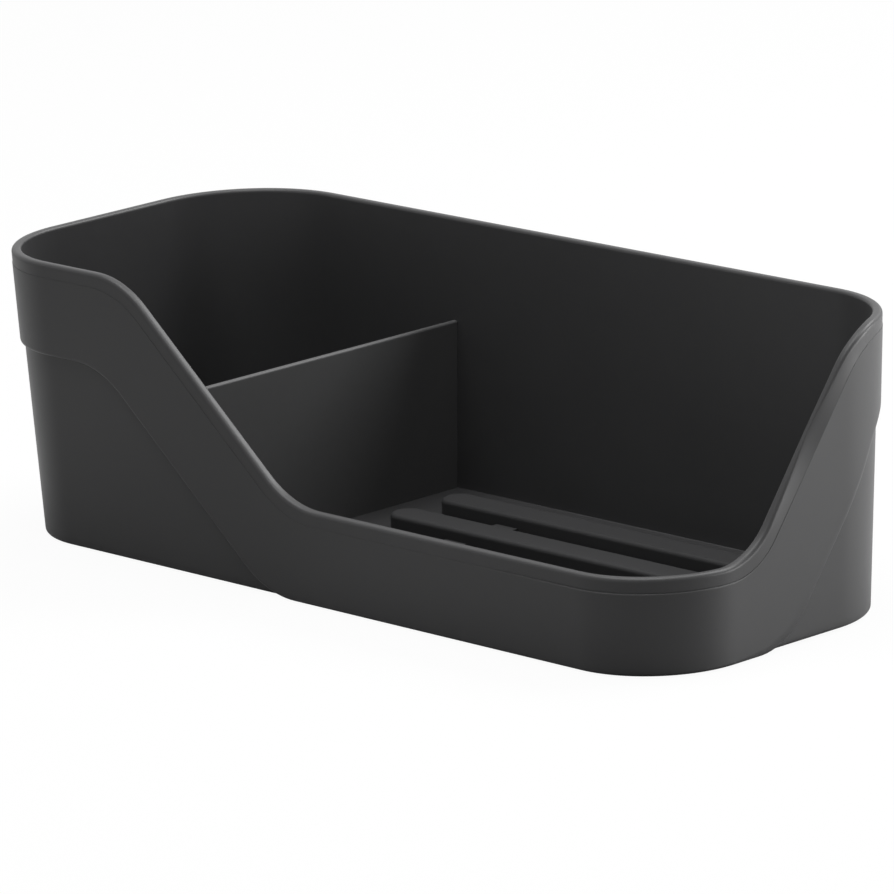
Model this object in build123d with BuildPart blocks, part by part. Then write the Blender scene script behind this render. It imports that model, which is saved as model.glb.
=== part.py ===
from build123d import *
import math
import os

# A kitchen sink caddy: an open tub that is high at the back and the left end and swoops
# down to a low front, a sleeve that wraps the tub under its rim, a lift-out divider, a
# lift-out drain rack and four rubber feet.
# Millimetres, Z up. X runs along the length, the front faces -Y, and the origin is at the
# middle of the footprint, on the surface that the caddy stands on.

# Rim outline, seen from above
length = 260.0
depth = 107.0
front_corner_radius = 31.7
back_corner_radius = 34.3

# Rim line, seen from the front and from the right end
height = 80.15
low_rim_height = 26.4
high_front_run = 62.9    # along the front, from the left end to the head of the slope
high_side_run = 30.0     # along the right end, from the back to the head of the slope
front_slope = 42.2       # degrees, steepness of the slope in the front view
side_slope = 54.5        # degrees, steepness of the slope in the view of the right end
front_bend_radius = 27.0
side_bend_radius = 20.0

# Walls
rim_thickness = 2.8
sleeve_thickness = 1.05
outer_draft = 2.8        # degrees, lean of the sleeve
body_draft = 3.1         # degrees, lean of the tub
rim_outer_radius = 0.9
rim_inner_radius = 0.8

# Lip of the tub and the sleeve under it
lip_drop = 4.0           # from the rim line down to the top edge of the sleeve
lip_setback = 0.1        # the lip stands this much inside the face of the sleeve
sleeve_gap = 0.05
sleeve_foot_radius = 0.9
sleeve_foot_shift = -1.0 # along the front, of the slope of the sleeve's lower edge
sleeve_top_radius = 0.25

# Floor and underside
stand_off = 0.3          # gap under the sleeve, so that only the feet touch
skirt_bottom = 0.5
skirt_edge_radius = 1.0
floor_bottom = 3.1
floor_thickness = 2.0
floor_fillet = 1.5

# Feet and their sockets
foot_diameter = 12.0
foot_socket_wall = 1.6
foot_socket_depth = 1.6
foot_fit_gap = 0.05
foot_edge_radius = 0.3
foot_inset_length = 30.0  # from the ends of the rim outline to the middle of a foot
foot_inset_depth = 28.0

# Divider
divider_from_left = 84.5  # from the left end of the rim outline to the middle of the plate
divider_thickness = 1.8
divider_top = 51.8
divider_side_gap = 0.1
divider_edge_radius = 0.7
tab_length = 14.0
tab_spacing = 52.0
tab_depth = 1.4
tab_gap = 0.2

# Drain rack
bar_count = 4
bar_width = 9.5
bar_pitch = 19.2
bar_height = 4.2
bar_edge_radius = 1.2
bar_end_gap = 14.3        # from the ends of the bars to the divider and to the right wall
rail_width = 8.0
rail_height = 0.8
rail_from_end = 28.0      # from the ends of the bars to the middle of a rail

overrun = 20.0            # how far a cutting block runs past what it cuts
touching = 0.001          # closer than this counts as touching

floor_top = floor_bottom + floor_thickness
divider_x = divider_from_left - length / 2


os.makedirs("parts", exist_ok=True)


def lean(draft, z):
    """How far a wall that starts at the rim has come in at the height z."""
    return (height - z) * math.tan(math.radians(draft))


def outline(inset):
    """The rim outline moved in by inset, on the ground plane."""
    with BuildSketch() as shape:
        Rectangle(length - 2 * inset, depth - 2 * inset)
        fillet(shape.vertices().group_by(Axis.Y)[0], front_corner_radius - inset)
        fillet(shape.vertices().group_by(Axis.Y)[-1], back_corner_radius - inset)
    return shape.sketch


def tapered_block(inset, draft, bottom):
    """The rim outline moved in by inset, run down to the height bottom with a draft."""
    bottom_inset = inset + lean(draft, bottom)
    with BuildPart() as block:
        with BuildSketch(Plane.XY.offset(bottom)):
            add(outline(bottom_inset))
        extrude(amount=height - bottom, taper=-draft)
    return block.part


def above_line(plane, side, head, slope, drop, bend_radius, along, across):
    """The space above one view of the rim line, when that line is moved down by drop.

    The line is high on the given side, 1 or -1, of the head of its slope. The block is
    larger than the caddy, whose size is along in that view and across the view.
    """
    angle = math.radians(slope)
    shift = side * drop * math.tan(angle / 2)
    foot = head - side * (height - low_rim_height) / math.tan(angle)
    low = low_rim_height - drop
    high = height - drop
    top = height + overrun
    end = side * (along / 2 + overrun)
    with BuildPart() as block:
        with BuildSketch(plane):
            with BuildLine():
                line = FilletPolyline(
                    (-end, low), (foot + shift, low), (head + shift, high), (end, high),
                    radius=bend_radius,
                )
                Polyline(line @ 1, (end, top), (-end, top), line @ 0)
            make_face()
        extrude(amount=across / 2 + overrun, both=True)
    return block.part


def above_rim(drop, front_shift=0):
    """Everything above the rim line when it is moved down by drop, parallel to itself.

    The slope along the front can also be shifted towards the right end.
    """
    front_head = high_front_run - length / 2 + front_shift
    side_head = depth / 2 - high_side_run
    over_front = above_line(
        Plane.XZ, -1, front_head, front_slope, drop, front_bend_radius, length, depth
    )
    over_side = above_line(
        Plane.YZ, 1, side_head, side_slope, drop, side_bend_radius, depth, length
    )
    with BuildPart() as block:
        add(over_front)
        add(over_side, mode=Mode.INTERSECT)
    return block.part


def line_edges(part, line, bore, inside=False):
    """The edges of a part that run along a moved rim line, given as the space above it.

    They are those round the outside or, with inside set, those on the wall of the bore.
    Edges that cross from one to the other are left out.
    """
    found = []
    for edge in part.edges():
        points = [edge @ share for share in (0, 0.5, 1)]
        on_line = all(line.distance_to(point) < touching for point in points)
        on_bore = [bore.distance_to(point) < touching for point in points]
        if on_line and all(state == inside for state in on_bore):
            found.append(edge)
    return found


def inner_inset(z):
    """How far the tub's inside is from the rim outline at the height z."""
    return rim_thickness + lean(body_draft, z)


body_block = tapered_block(sleeve_thickness, body_draft, skirt_bottom)
lip_block = tapered_block(lip_setback, outer_draft, stand_off)
sleeve_block = tapered_block(0, outer_draft, stand_off)
sleeve_bore = tapered_block(sleeve_thickness - sleeve_gap, body_draft, stand_off)
cavity_block = tapered_block(rim_thickness, body_draft, floor_top)
rim_cut = above_rim(0)
lip_zone = above_rim(lip_drop)
floor_half_length = length / 2 - inner_inset(floor_top)
floor_half_depth = depth / 2 - inner_inset(floor_top)

foot_grid = GridLocations(length - 2 * foot_inset_length, depth - 2 * foot_inset_depth, 2, 2)
foot_places = foot_grid.local_locations
tab_places = [Location((divider_x, side * tab_spacing / 2)) for side in (-1, 1)]

# Tub: floor, walls and skirt, with a lip that covers the top edge of the sleeve
with BuildPart() as cavity:
    add(cavity_block)
    fillet(cavity.edges().group_by(Axis.Z)[0], floor_fillet)

with BuildPart() as lip:
    add(lip_block)
    add(lip_zone, mode=Mode.INTERSECT)

with BuildPart() as tub:
    add(body_block)
    fillet(tub.edges().group_by(Axis.Z)[0], skirt_edge_radius)
    add(lip.part)
    add(cavity.part, mode=Mode.SUBTRACT)
    with BuildSketch(Plane.XY.offset(skirt_bottom)):
        add(outline(inner_inset(skirt_bottom)))
    extrude(amount=floor_bottom - skirt_bottom, mode=Mode.SUBTRACT)
    # sockets for the feet
    with BuildSketch(Plane.XY.offset(floor_bottom - foot_socket_depth)):
        with Locations(foot_places):
            Circle(foot_diameter / 2 + foot_fit_gap + foot_socket_wall)
            Circle(foot_diameter / 2 + foot_fit_gap, mode=Mode.SUBTRACT)
    extrude(amount=foot_socket_depth)
    # slots for the tabs of the divider
    with BuildSketch(Plane.XY.offset(floor_bottom)):
        with Locations(tab_places):
            Rectangle(divider_thickness + 2 * tab_gap, tab_length + 2 * tab_gap)
    extrude(amount=floor_thickness, mode=Mode.SUBTRACT)
    add(rim_cut, mode=Mode.SUBTRACT)
    outer_rim = line_edges(tub.part, rim_cut, cavity_block)
    inner_rim = line_edges(tub.part, rim_cut, cavity_block, inside=True)
    fillet(outer_rim, rim_outer_radius)
    fillet(inner_rim, rim_inner_radius)
tub.part.label = "tub"
export_step(tub.part, "parts/tub.step")

# Sleeve: a band round the tub, from the lip down, that meets the ground line at the low front
above_foot = above_rim(low_rim_height - stand_off, sleeve_foot_shift)
above_top = above_rim(lip_drop + sleeve_gap)
with BuildPart() as sleeve:
    add(sleeve_block)
    add(sleeve_bore, mode=Mode.SUBTRACT)
    add(above_foot, mode=Mode.INTERSECT)
    add(above_top, mode=Mode.SUBTRACT)
    fillet(line_edges(sleeve.part, above_foot, sleeve_bore), sleeve_foot_radius)
    fillet(line_edges(sleeve.part, above_top, sleeve_bore), sleeve_top_radius)
sleeve.part.label = "sleeve"
export_step(sleeve.part, "parts/sleeve.step")

# Divider: a flat plate that drops in between the front and the back wall, held by two tabs
divider_foot_half = floor_half_depth - divider_side_gap
divider_top_half = divider_foot_half + lean(body_draft, floor_top) - lean(body_draft, divider_top)
with BuildPart() as divider:
    with BuildSketch(Plane.YZ.offset(divider_x - divider_thickness / 2)) as plate:
        with BuildLine():
            Polyline(
                (-divider_foot_half, floor_top),
                (divider_foot_half, floor_top),
                (divider_top_half, divider_top),
                (-divider_top_half, divider_top),
                close=True,
            )
        make_face()
        fillet(plate.vertices().group_by(Axis.Z)[0], floor_fillet + 2 * divider_side_gap)
    extrude(amount=divider_thickness)
    top_edges = divider.faces().sort_by(Axis.Z)[-1].edges().filter_by(Axis.Y)
    fillet(top_edges, divider_edge_radius)
    with BuildSketch(Plane.XY.offset(floor_top)):
        with Locations(tab_places):
            Rectangle(divider_thickness, tab_length)
    extrude(amount=-tab_depth)
divider.part.label = "divider"
export_step(divider.part, "parts/divider.step")

# Drain rack: flat-topped bars with round ends, tied by two low rails
rack_left = divider_x + divider_thickness / 2 + bar_end_gap
rack_right = floor_half_length - bar_end_gap
rack_x = (rack_left + rack_right) / 2
bar_length = rack_right - rack_left
with BuildPart() as drain_rack:
    with BuildSketch(Plane.XY.offset(floor_top)):
        with Locations((rack_x, 0)):
            with GridLocations(0, bar_pitch, 1, bar_count):
                SlotOverall(bar_length, bar_width)
    extrude(amount=bar_height)
    fillet(drain_rack.edges().group_by(Axis.Z)[-1], bar_edge_radius)
    with BuildSketch(Plane.XY.offset(floor_top)):
        with Locations((rack_x, 0)):
            with GridLocations(bar_length - 2 * rail_from_end, 0, 2, 1):
                Rectangle(rail_width, bar_pitch * (bar_count - 1))
    extrude(amount=rail_height)
drain_rack.part.label = "drain_rack"
export_step(drain_rack.part, "parts/drain_rack.step")

# Feet: four rubber pads pressed into the sockets under the floor
with BuildPart() as feet:
    with BuildSketch(Plane.XY):
        with Locations(foot_places):
            Circle(foot_diameter / 2)
    extrude(amount=floor_bottom)
    fillet(feet.edges().group_by(Axis.Z)[0], foot_edge_radius)
feet.part.label = "feet"
export_step(feet.part, "parts/feet.step")

for piece in (tub, sleeve, divider, drain_rack, feet):
    solids = piece.part.solids()
    print(piece.part.label, len(solids), round(piece.part.volume), piece.part.is_valid)
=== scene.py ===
import math

import bmesh
import bpy
import numpy as np
from mathutils import Matrix, Vector


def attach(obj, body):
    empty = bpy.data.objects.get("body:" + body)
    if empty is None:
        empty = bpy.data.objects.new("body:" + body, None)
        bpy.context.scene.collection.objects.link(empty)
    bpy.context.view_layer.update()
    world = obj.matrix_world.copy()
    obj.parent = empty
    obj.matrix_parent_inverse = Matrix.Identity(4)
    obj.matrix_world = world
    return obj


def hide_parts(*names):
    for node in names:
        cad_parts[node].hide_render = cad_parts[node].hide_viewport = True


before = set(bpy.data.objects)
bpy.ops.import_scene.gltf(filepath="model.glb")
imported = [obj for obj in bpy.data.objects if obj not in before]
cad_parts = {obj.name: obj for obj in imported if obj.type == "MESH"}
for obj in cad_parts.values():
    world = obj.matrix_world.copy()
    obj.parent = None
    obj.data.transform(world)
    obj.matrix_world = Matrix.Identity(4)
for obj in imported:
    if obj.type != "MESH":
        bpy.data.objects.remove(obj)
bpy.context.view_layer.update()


# Tub. The floor, the walls, the skirt and the lip are one thick injection moulding in
# charcoal polypropylene. The mould was spark-eroded, which leaves an even satin grain.

MM = 0.001      # the sizes of all pieces are in millimetres and degrees
charcoal = (0.037, 0.037, 0.038)


def feed(tree, socket, value):
    """Gives a socket a number or the output of another node."""
    if isinstance(value, bpy.types.NodeSocket):
        tree.links.new(value, socket)
    else:
        socket.default_value = value


def maths(tree, operation, *values):
    """The result of a maths node on these numbers or outputs."""
    made = tree.nodes.new("ShaderNodeMath")
    made.operation = operation
    for socket, value in zip(made.inputs, values):
        feed(tree, socket, value)
    return made.outputs[0]


def scaled(tree, vector, amount):
    """A vector or colour times a number."""
    made = tree.nodes.new("ShaderNodeVectorMath")
    made.operation = "SCALE"
    feed(tree, made.inputs[0], vector)
    feed(tree, made.inputs["Scale"], amount)
    return made.outputs[0]


def spread(tree, source, amount, middle):
    """A source of 0 to 1, spread by amount to both sides of a middle value."""
    centred = maths(tree, "MULTIPLY_ADD", source, 2, -1)
    return maths(tree, "MULTIPLY_ADD", centred, amount, middle)


def moulded_grain():
    """Colour, roughness and normal of a moulded surface: grain, mottling and soft clouds."""
    group = bpy.data.node_groups.new("moulded_grain", "ShaderNodeTree")
    socket = group.interface.new_socket
    for label, kind, value in (
        ("Colour", "NodeSocketColor", (0.03, 0.03, 0.03, 1)),
        ("Roughness", "NodeSocketFloat", 0.5),
        ("Grain Per Millimetre", "NodeSocketFloat", 2.5),
        ("Grain Height", "NodeSocketFloat", 0.01),
        ("Tone Change", "NodeSocketFloat", 0.1),
        ("Gloss Change", "NodeSocketFloat", 0.05),
    ):
        socket(name=label, in_out="INPUT", socket_type=kind).default_value = value
    for label, kind in (("Colour", "Color"), ("Roughness", "Float"), ("Normal", "Vector")):
        socket(name=label, in_out="OUTPUT", socket_type="NodeSocket" + kind)
    given = group.nodes.new("NodeGroupInput").outputs
    out = group.nodes.new("NodeGroupOutput").inputs
    place = group.nodes.new("ShaderNodeTexCoord").outputs["Object"]
    millimetres = scaled(group, place, 1 / MM)

    def noise(per_millimetre, detail, rough):
        """A noise over the surface, from 0 to 1."""
        made = group.nodes.new("ShaderNodeTexNoise")
        feed(group, made.inputs["Vector"], millimetres)
        feed(group, made.inputs["Scale"], per_millimetre)
        feed(group, made.inputs["Detail"], detail)
        feed(group, made.inputs["Roughness"], rough)
        return made.outputs["Fac"]

    grain = noise(given["Grain Per Millimetre"], 2, 0.6)
    mottle = noise(0.35, 3, 0.55)
    cloud = noise(0.03, 3, 0.5)
    patches = maths(group, "MULTIPLY", maths(group, "ADD", mottle, cloud), 0.5)
    tone = spread(group, patches, given["Tone Change"], 1)
    gloss = spread(group, patches, given["Gloss Change"], given["Roughness"])
    bump = group.nodes.new("ShaderNodeBump")
    feed(group, bump.inputs["Distance"], maths(group, "MULTIPLY", given["Grain Height"], MM))
    feed(group, bump.inputs["Height"], grain)
    feed(group, out["Colour"], scaled(group, given["Colour"], tone))
    feed(group, out["Roughness"], gloss)
    feed(group, out["Normal"], bump.outputs["Normal"])
    return group


grain_group = moulded_grain()


def moulding(name, colour, roughness, grain_height, tone, gloss, grain=2.5, specular=0.32):
    """A moulded finish that takes its colour, roughness and normal from the grain group."""
    material = bpy.data.materials.new(name)
    material.use_nodes = True
    tree = material.node_tree
    surface = tree.nodes["Principled BSDF"].inputs
    surface["Specular IOR Level"].default_value = specular
    skin = tree.nodes.new("ShaderNodeGroup")
    skin.node_tree = grain_group
    for label, value in (
        ("Colour", (*colour, 1)),
        ("Roughness", roughness),
        ("Grain Per Millimetre", grain),
        ("Grain Height", grain_height),
        ("Tone Change", tone),
        ("Gloss Change", gloss),
    ):
        feed(tree, skin.inputs[label], value)
    feed(tree, surface["Base Color"], skin.outputs["Colour"])
    feed(tree, surface["Roughness"], skin.outputs["Roughness"])
    feed(tree, surface["Normal"], skin.outputs["Normal"])
    return material


length, depth, height = 260.0, 107.0, 80.15
front_corner, back_corner = 31.7, 34.3
low_rim = 26.4
front_head, front_slope, front_bend = 67.1, 42.2, 27.0    # in the view from the front
side_head, side_slope, side_bend = 23.5, 54.5, 20.0       # in the view from the right end
outer_draft, inner_draft = math.tan(math.radians(2.8)), math.tan(math.radians(3.1))
wall, lip_height, body_inset = 2.8, 4.0, 1.05
ground_gap, skirt_bottom, floor_under, floor_top = 0.3, 0.5, 3.1, 5.1


def outline_parts():
    """The sides and corners of the rim outline, in order round it from the front left.

    Each ends with the number of faces that it is split into.
    """
    x, y = length / 2, depth / 2
    f, b = front_corner, back_corner
    return (
        ("side", (f - x, -y), (x - f, -y), 120),
        ("corner", (x - f, f - y), f, -90, 32),
        ("side", (x, f - y), (x, y - b), 26),
        ("corner", (x - b, y - b), b, 0, 36),
        ("side", (x - b, y), (b - x, y), 40),
        ("corner", (b - x, y - b), b, 90, 32),
        ("side", (-x, y - b), (-x, f - y), 14),
        ("corner", (f - x, f - y), f, 180, 32),
    )


def walk_outline():
    """Evenly spread stations along the outline, as distances, and the outline's length."""
    stations, start = [], 0.0
    for part in outline_parts():
        if part[0] == "side":
            run = math.dist(part[1], part[2])
        else:
            run = part[2] * math.pi / 2
        stations.extend(start + run * k / part[-1] for k in range(part[-1]))
        start += run
    return np.array(stations), start


def outline_at(stations):
    """Points of the outline at these distances, and the way out from each."""
    left = np.mod(stations, outline_length)
    points = np.zeros((len(left), 2))
    outward = np.zeros((len(left), 2))
    start = 0.0
    for part in outline_parts():
        if part[0] == "side":
            a, b = np.array(part[1]), np.array(part[2])
            run = np.linalg.norm(b - a)
            here = (left >= start) & (left < start + run)
            along = (b - a) / run
            points[here] = a + np.outer(left[here] - start, along)
            outward[here] = (along[1], -along[0])
        else:
            run = part[2] * math.pi / 2
            here = (left >= start) & (left < start + run)
            angle = math.radians(part[3]) + (left[here] - start) / part[2]
            turned = np.stack((np.cos(angle), np.sin(angle)), 1)
            points[here] = np.array(part[1]) + part[2] * turned
            outward[here] = turned
        start += run
    return points, outward


def bent_line(u, head, slope, bend, low, high):
    """One view of the rim line: level, up a straight slope to its head, and level."""
    slope = math.radians(slope)
    foot = head - (high - low) / math.tan(slope)
    tangent = bend * math.tan(slope / 2)
    run = tangent * math.cos(slope)
    z = low + (high - low) * np.clip((u - foot) / (head - foot), 0, 1)
    past_foot, before_head = u - foot + tangent, head + tangent - u
    foot_bend = low + bend - np.sqrt(np.maximum(bend ** 2 - past_foot ** 2, 0))
    head_bend = high - bend + np.sqrt(np.maximum(bend ** 2 - before_head ** 2, 0))
    z = np.where((past_foot > 0) & (u < foot + run), foot_bend, z)
    return np.where((u > head - run) & (before_head > 0), head_bend, z)


def rim_height(x, y, drop, front_shift):
    """Height of the rim line, moved down by drop, over these places.

    The slope along the front can also be shifted towards the left end.
    """
    low, high = low_rim - drop, height - drop
    front_shift = front_shift + drop * math.tan(math.radians(front_slope / 2))
    side_shift = drop * math.tan(math.radians(side_slope / 2))
    front = bent_line(-x, front_head + front_shift, front_slope, front_bend, low, high)
    side = bent_line(y, side_head + side_shift, side_slope, side_bend, low, high)
    return np.maximum(front, side)


def wall_points(stations, inset, draft, z):
    """Points at the height z on a wall that leans in by draft from the rim down."""
    z = np.full(len(stations), z)
    points, outward = outline_at(stations)
    depth_in = inset + (height - z) * draft
    return np.column_stack((points - outward * np.reshape(depth_in, (-1, 1)), z))


def line_points(stations, inset, draft, drop, front_shift=0):
    """Points on a wall along the rim line moved down by drop.

    The wall leans, so the height and the place are found in turns until they agree.
    """
    z = height - drop
    for _ in range(6):
        points = wall_points(stations, inset, draft, z)
        z = rim_height(points[:, 0], points[:, 1], drop, front_shift)
    return wall_points(stations, inset, draft, z)


def line_lean(stations, drop):
    """How far the line's downward side turns along the outline, 0 where it is level."""
    step = 0.2
    ahead = line_points(stations + step, wall / 2, inner_draft, drop)
    behind = line_points(stations - step, wall / 2, inner_draft, drop)
    rise = (ahead[:, 2] - behind[:, 2]) / (2 * step)
    return rise / np.sqrt(1 + rise ** 2)


def quarter_round(steps):
    """Points round a quarter circle of radius 1, as distances from its two outer sides."""
    turns = [math.radians(90 * k / steps) for k in range(steps + 1)]
    return [(1 - math.cos(turn), 1 - math.sin(turn)) for turn in turns]


def bridge(mesh, one, other):
    """Four-sided faces between two closed loops of the same count."""
    for k in range(len(one)):
        after = (k + 1) % len(one)
        mesh.faces.new((one[k], one[after], other[after], other[k]))


def skin(mesh, rows):
    """Joins rows of points that go round a piece, from the first row to the last."""
    made = [[mesh.verts.new(Vector(p) * MM) for p in row] for row in rows]
    for one, other in zip(made, made[1:]):
        bridge(mesh, one, other)
    return made


def level_loop(mesh, points, z):
    """A closed loop of points at one height."""
    return [mesh.verts.new(Vector((x, y, z)) * MM) for x, y in points]


def loop_edges(mesh, loop):
    """The edges of a closed loop of points."""
    found = []
    for k in range(len(loop)):
        pair = (loop[k], loop[(k + 1) % len(loop)])
        found.append(mesh.edges.get(pair) or mesh.edges.new(pair))
    return found


def flat_fill(mesh, *loops):
    """A flat face inside the first loop, with the other loops left open."""
    edges = [edge for loop in loops for edge in loop_edges(mesh, loop)]
    bmesh.ops.triangle_fill(mesh, edges=edges, use_beauty=True)


def new_piece(name, mesh, material, body, node):
    """Turns a finished mesh into a piece that stands for this node of the frame."""
    bmesh.ops.recalc_face_normals(mesh, faces=mesh.faces[:])
    data = bpy.data.meshes.new(name)
    mesh.to_mesh(data)
    mesh.free()
    data.shade_smooth()
    data.set_sharp_from_angle(angle=math.radians(32))
    data.materials.append(material)
    piece = bpy.data.objects.new(name, data)
    bpy.context.scene.collection.objects.link(piece)
    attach(piece, body)
    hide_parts(node)


stations, outline_length = walk_outline()
rim_lean = line_lean(stations, 0)
rim_x, rim_y = outline_at(stations)[0].T
# the ledge under the lip opens along the right half of the front and round its corner
ledge = np.interp(rim_x, (55, 100), (0, 1)) * np.interp(rim_y, (-28, -14), (1, 0))
# the lip leans in along the slope of the right end
at_right = rim_x > 60
leaning = np.where(at_right, np.interp(rim_y, (-10, 6, 8, 24, 44), (0, 1, 1, 0.1, 0)), 0)

floor_round, skirt_round = 0.25, 1.0
inner_round = 0.8 - 0.4 * leaning
outer_round = 1.15 - 0.95 * leaning
lip_setback = 0.105 + 0.35 * ledge - 0.085 * leaning
lip_tilt = 1.6 * leaning
inner_wall_top = 1.0
inner_wall_rows = (0.02, 0.15, 0.35, 0.55, 0.75, 0.92)    # from the floor up
lip_rows = (1.35, 2.0, 3.0, 3.8, lip_height)              # below the rim line
outer_wall_rows = (0.1, 0.35, 0.6, 0.85, 0.98)            # from the lip down


def rim_row(inset, draft, drop):
    """One row of the rim, which turns with the slope of the rim line."""
    moved = stations + rim_lean * drop
    return line_points(moved, inset, draft, drop), moved


def lip_inset(drop):
    """The lip leans in towards the rim where it stands clear of the sleeve."""
    return lip_setback + lip_tilt * (1 - drop / lip_height)


rows = []
# edge of the floor and inner wall, from the floor up
inner_top, inner_stations = rim_row(wall, inner_draft, inner_wall_top)
for rise, cut in quarter_round(6):
    inset, z = wall + floor_round * cut, floor_top + floor_round * rise
    rows.append(wall_points(inner_stations, inset, inner_draft, z))
for share in inner_wall_rows:
    z = floor_top + floor_round + (inner_top[:, 2] - floor_top - floor_round) * share
    rows.append(wall_points(inner_stations, wall, inner_draft, z))
rows.append(inner_top)
# rim, up and over from the inside, and lip
for drop, cut in reversed(quarter_round(6)):
    rows.append(rim_row(wall - cut * inner_round, inner_draft, drop * inner_round)[0])
for cut, drop in reversed(quarter_round(7)):
    inset, drop = cut * outer_round, drop * outer_round
    rows.append(rim_row(lip_inset(drop) + inset, outer_draft, drop)[0])
for drop in lip_rows:
    row, outer_stations = rim_row(lip_inset(drop), outer_draft, drop)
    rows.append(row)
under_lip = rim_row(body_inset, inner_draft, lip_height)[0]
rows.append(under_lip)
# outer wall and skirt, from under the lip down
for share in outer_wall_rows:
    z = under_lip[:, 2] + (skirt_bottom + skirt_round - under_lip[:, 2]) * share
    rows.append(wall_points(outer_stations, body_inset, inner_draft, z))
for cut, rise in quarter_round(6):
    inset, z = body_inset + skirt_round * cut, skirt_bottom + skirt_round * rise
    rows.append(wall_points(outer_stations, inset, inner_draft, z))
# inside of the skirt, up to the underside of the floor
skirt_inset = wall + (height - skirt_bottom) * inner_draft
for z in (skirt_bottom, floor_under):
    rows.append(wall_points(stations, skirt_inset, 0, z))

mesh = bmesh.new()
made = skin(mesh, rows)


def box_corners(x, y, half_x, half_y):
    """The corners of a rectangle about a middle."""
    return [
        (x - half_x, y - half_y), (x + half_x, y - half_y),
        (x + half_x, y + half_y), (x - half_x, y + half_y),
    ]


# slots for the tabs of the divider, through the floor
divider_x, divider_half = -45.5, 0.9
tab_half, tab_middles, fit = 7.0, (-26, 26), 0.03
slot_tops, slot_feet = [], []
for middle in tab_middles:
    corners = box_corners(divider_x, middle, divider_half + fit, tab_half + fit)
    slot_tops.append(level_loop(mesh, corners, floor_top))
    slot_feet.append(level_loop(mesh, corners, floor_under))
    bridge(mesh, slot_tops[-1], slot_feet[-1])
# ring-shaped sockets for the feet, under the floor
foot_places = [(x, y) for x in (-100, 100) for y in (-25.5, 25.5)]
ring_radius, socket_radius, ring_bottom = 7.65, 6.05, 1.5
circle = [math.radians(360 * k / 48) for k in range(48)]
socket_rims = []
for x, y in foot_places:
    loops = []
    for radius, z in (
        (ring_radius, floor_under), (ring_radius, ring_bottom),
        (socket_radius, ring_bottom), (socket_radius, floor_under),
    ):
        points = [(x + radius * math.cos(t), y + radius * math.sin(t)) for t in circle]
        loops.append(level_loop(mesh, points, z))
    for one, other in zip(loops, loops[1:]):
        bridge(mesh, one, other)
    mesh.faces.new(loops[-1])
    socket_rims.append(loops[0])
flat_fill(mesh, made[0], *slot_tops)
flat_fill(mesh, made[-1], *slot_feet, *socket_rims)

tub_finish = moulding(
    "satin_charcoal_tub", charcoal, roughness=0.45, grain_height=0.012, tone=0.10, gloss=0.06
)
new_piece("tub_shell", mesh, tub_finish, "caddy", "tub")


# Sleeve. A thin moulded band of the same charcoal polypropylene that is pressed up over
# the tub from below until its top edge meets the lip.

band_drop = low_rim - ground_gap
sleeve_top, sleeve_thickness = lip_height + 0.01 + 0.04 * ledge, body_inset - 0.05
top_round = 0.06 + 0.3 * ledge
foot_round, foot_shift = 0.9, 1.0
# the lower edge is rounded over a longer way along the slope of the right end
foot_height = foot_round + 1.6 * np.where(
    at_right, np.interp(rim_y, (-20, -4, 40, 50), (0, 1, 1, 0)), 0
)
foot_lean = line_lean(stations, band_drop)
edge_rest = 0.2
face_rows = (0, 0.25, 0.5, 0.75, 1)


def foot_row(inset, draft, above):
    """A row of the sleeve at this distance above its lower edge."""
    moved = stations - foot_lean * above
    return line_points(moved, inset, draft, band_drop - above, foot_shift), moved


rows = []
for cut, below in reversed(quarter_round(5)):
    rows.append(rim_row(top_round * cut, outer_draft, sleeve_top + top_round * below)[0])
face_top, top_stations = rim_row(0, outer_draft, sleeve_top + (top_round + edge_rest))
face_foot, low_stations = foot_row(0, outer_draft, foot_height + edge_rest)
for share in face_rows:
    z = face_top[:, 2] * (1 - share) + face_foot[:, 2] * share
    between = top_stations * (1 - share) + low_stations * share
    rows.append(wall_points(between, 0, outer_draft, z))
for cut, above in quarter_round(7):
    rows.append(foot_row(foot_round * cut, outer_draft, foot_height * above)[0])
rows.append(foot_row(sleeve_thickness, inner_draft, 0)[0])
rows.append(rim_row(sleeve_thickness, inner_draft, sleeve_top)[0])
rows.append(rows[0])

mesh = bmesh.new()
made = skin(mesh, rows)
bmesh.ops.remove_doubles(mesh, verts=made[0] + made[-1], dist=0.00001 * MM)
sleeve_finish = moulding(
    "satin_charcoal_sleeve", charcoal, roughness=0.45, grain_height=0.012, tone=0.10, gloss=0.06
)
new_piece("sleeve_band", mesh, sleeve_finish, "caddy", "sleeve")


# Divider. A flat moulded plate of the same charcoal polypropylene as the tub, with a plainer
# surface; its colour is painted paler to stand in for the light that falls on it.
# It drops in between the front and the back wall, and two tabs in the floor hold it.

# painted light: the tub's charcoal made paler, standing in for the brighter light on the
# divider
divider_charcoal_painted_paler = (0.083, 0.083, 0.084)
divider_top, divider_round, tab_depth = 51.8, 0.7, 1.4
foot_corner = floor_round + 0.1


def plate_level(z, half_x, cut):
    """The corners of the divider at one height, cut back at its ends."""
    half_y = depth / 2 - wall - (height - z) * inner_draft - fit - cut
    return [(x, y, z) for x, y in box_corners(divider_x, 0, half_x, half_y)]


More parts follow.
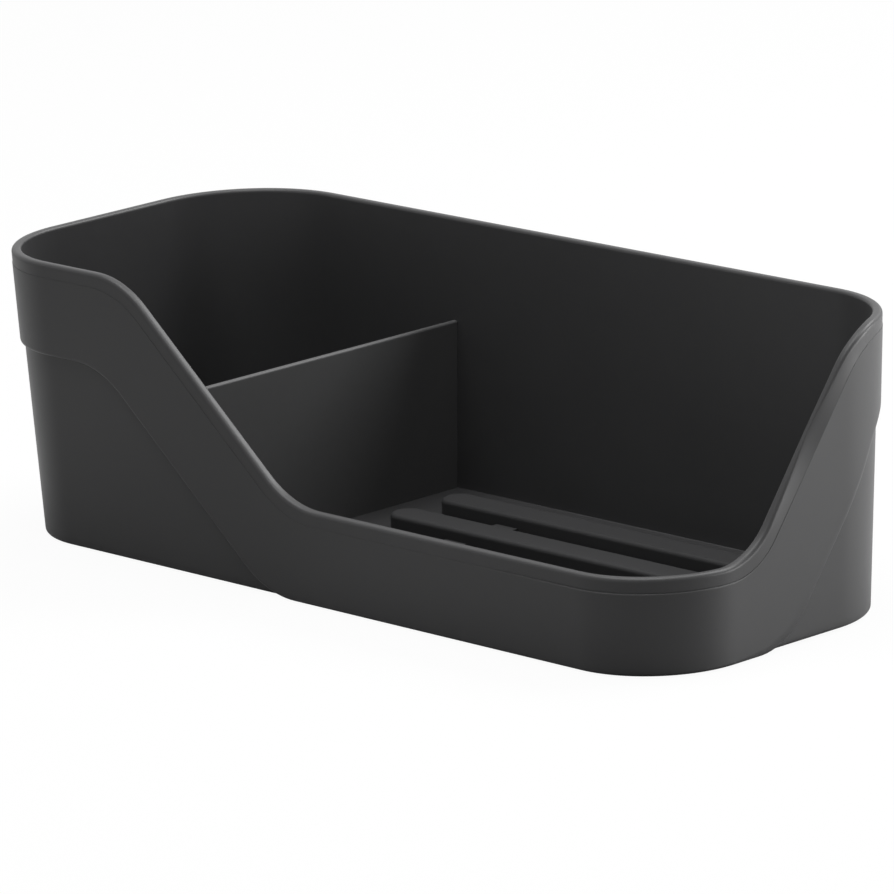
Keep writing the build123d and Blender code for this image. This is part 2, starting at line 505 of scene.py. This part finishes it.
rows = []
for rise, cut in quarter_round(6):
    z = floor_top + foot_corner * rise
    rows.append(plate_level(z, divider_half, foot_corner * cut))
for cut, drop in quarter_round(6):
    z = divider_top - divider_round * drop
    rows.append(plate_level(z, divider_half - divider_round * cut, 0))
mesh = bmesh.new()
made = skin(mesh, rows)
mesh.faces.new(made[-1])
tab_tops = []
for middle in tab_middles:
    corners = box_corners(divider_x, middle, divider_half - fit, tab_half)
    tab_tops.append(level_loop(mesh, corners, floor_top))
    foot = level_loop(mesh, corners, floor_top - tab_depth)
    bridge(mesh, tab_tops[-1], foot)
    mesh.faces.new(foot)
flat_fill(mesh, made[0], *tab_tops)
divider_finish = moulding(
    "satin_charcoal_divider", divider_charcoal_painted_paler,
    roughness=0.48, grain_height=0.010, tone=0.08, gloss=0.05, specular=0.2,
)
new_piece(
    "divider_with_tabs", mesh, divider_finish, "divider_plate", "divider"
)


# Drain rack. Four flat-topped bars on two low rails, one moulding in charcoal
# polypropylene that lies loose on the floor of the sponge bay.

rack_charcoal = (0.039, 0.039, 0.040)


def finish_node(name, material):
    """Gives a solid of the frame its finish."""
    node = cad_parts[name]
    node.data.materials.clear()
    node.data.materials.append(material)


rack_finish = moulding(
    "satin_charcoal_rack", rack_charcoal,
    roughness=0.6, grain_height=0.010, tone=0.10, gloss=0.05, specular=0.12,
)
finish_node("drain_rack", rack_finish)


# Feet. Four round pads of black rubber, pressed into sockets under the floor so that the
# caddy doesn't slide.

rubber_black = (0.014, 0.014, 0.014)
rubber = moulding(
    "black_rubber", rubber_black,
    roughness=0.72, grain_height=0.02, tone=0.15, gloss=0.05, grain=3.5,
)
finish_node("feet", rubber)


# Table and backdrop. A plain white sweep that shows as white and still takes the shadow
# of the caddy. It lights the caddy as a darker grey, so that its low parts stay deep.

def plain(tree, kind, tone, strength=None):
    """A shader of one plain grey."""
    made = tree.nodes.new(kind)
    made.inputs["Color"].default_value = (tone, tone, tone, 1)
    if strength is not None:
        made.inputs["Strength"].default_value = strength
    return made.outputs[0]


def mixed(tree, share, one, other):
    """Two shaders, the other in this share."""
    made = tree.nodes.new("ShaderNodeMixShader")
    for socket, value in zip(made.inputs, (share, one, other)):
        feed(tree, socket, value)
    return made.outputs[0]


def ray_shares(tree):
    """Two masks: the camera's own rays, and these with mirrored rays and rays through glass."""
    path = tree.nodes.new("ShaderNodeLightPath").outputs
    seen = maths(tree, "MAXIMUM", path["Is Camera Ray"], path["Is Glossy Ray"])
    return path["Is Camera Ray"], maths(tree, "MAXIMUM", seen, path["Is Transmission Ray"])


table_paint = bpy.data.materials.new("white_table")
table_paint.use_nodes = True
tree = table_paint.node_tree
tree.nodes.clear()
direct, seen = ray_shares(tree)
grey = plain(tree, "ShaderNodeBsdfDiffuse", 0.1)
pale = plain(tree, "ShaderNodeBsdfDiffuse", 0.7)
glow = plain(tree, "ShaderNodeEmission", 1, strength=1)
white = mixed(tree, maths(tree, "MULTIPLY", direct, 0.95), pale, glow)
out = tree.nodes.new("ShaderNodeOutputMaterial")
feed(tree, out.inputs["Surface"], mixed(tree, seen, grey, white))

half = 3.0      # metres
floor_mesh = bpy.data.meshes.new("table_top")
floor_mesh.from_pydata(
    [(-half, -half, 0), (half, -half, 0), (half, half, 0), (-half, half, 0)], [], [(0, 1, 2, 3)]
)
floor = bpy.data.objects.new("table_top", floor_mesh)
bpy.context.scene.collection.objects.link(floor)
floor.data.materials.append(table_paint)

world = bpy.data.worlds.new("studio")
bpy.context.scene.world = world
world.use_nodes = True
tree = world.node_tree
tree.nodes.clear()
seen = ray_shares(tree)[1]
room = plain(tree, "ShaderNodeBackground", 1, strength=0.03)
white = plain(tree, "ShaderNodeBackground", 1, strength=1)
out = tree.nodes.new("ShaderNodeOutputWorld")
feed(tree, out.inputs["Surface"], mixed(tree, seen, room, white))


# Light. Four soft panels of a small studio: a big one over the table, one high behind it,
# and two low cards, one far in front and one behind the right end.

def panel(name, at, aim, size, power):
    """A soft panel at a place, turned to what it lights, in metres and watts."""
    light = bpy.data.lights.new(name, "AREA")
    light.shape = "RECTANGLE"
    light.size, light.size_y = size
    light.energy = power
    lamp = bpy.data.objects.new(name, light)
    lamp.location = at
    lamp.rotation_euler = (Vector(aim) - Vector(at)).to_track_quat("-Z", "Y").to_euler()
    bpy.context.scene.collection.objects.link(lamp)


panel("top_panel", (-0.07, -0.13, 1.2), (0, 0, 0.03), (1.0, 0.8), 13.5)
panel("front_card", (0.1, -1.3, 0.3), (0, 0, 0.04), (1.2, 0.3), 1.4)
panel("back_panel", (0.3, 0.9, 1.0), (0, 0, 0.05), (0.9, 0.7), 19)
panel("right_card", (0.75, 0.75, 0.045), (0, 0, 0.045), (0.9, 0.085), 8.8)


# Camera. A long lens a little above the rim, looking at the front right corner.

heading, climb, roll = 0.808965, 0.252087, -0.041478      # radians
distance = 2.14207                                        # metres
target = Vector((0.0008046, 0, 0.033468))
back = Vector((
    math.sin(heading) * math.cos(climb), -math.cos(heading) * math.cos(climb), math.sin(climb)
))
level_right = Vector((math.cos(heading), math.sin(heading), 0))
level_up = back.cross(level_right)
right = level_right * math.cos(roll) + level_up * math.sin(roll)
up = level_up * math.cos(roll) - level_right * math.sin(roll)
lens = bpy.data.cameras.new("camera")
lens.lens = 324.68
lens.sensor_width = 36
lens.clip_start, lens.clip_end = 0.1, 20
camera = bpy.data.objects.new("camera", lens)
turn = Matrix((right, up, back)).transposed().to_4x4()
camera.matrix_world = Matrix.Translation(target + back * distance) @ turn
bpy.context.scene.collection.objects.link(camera)
bpy.context.scene.camera = camera

bpy.context.scene.view_settings.view_transform = "Standard"
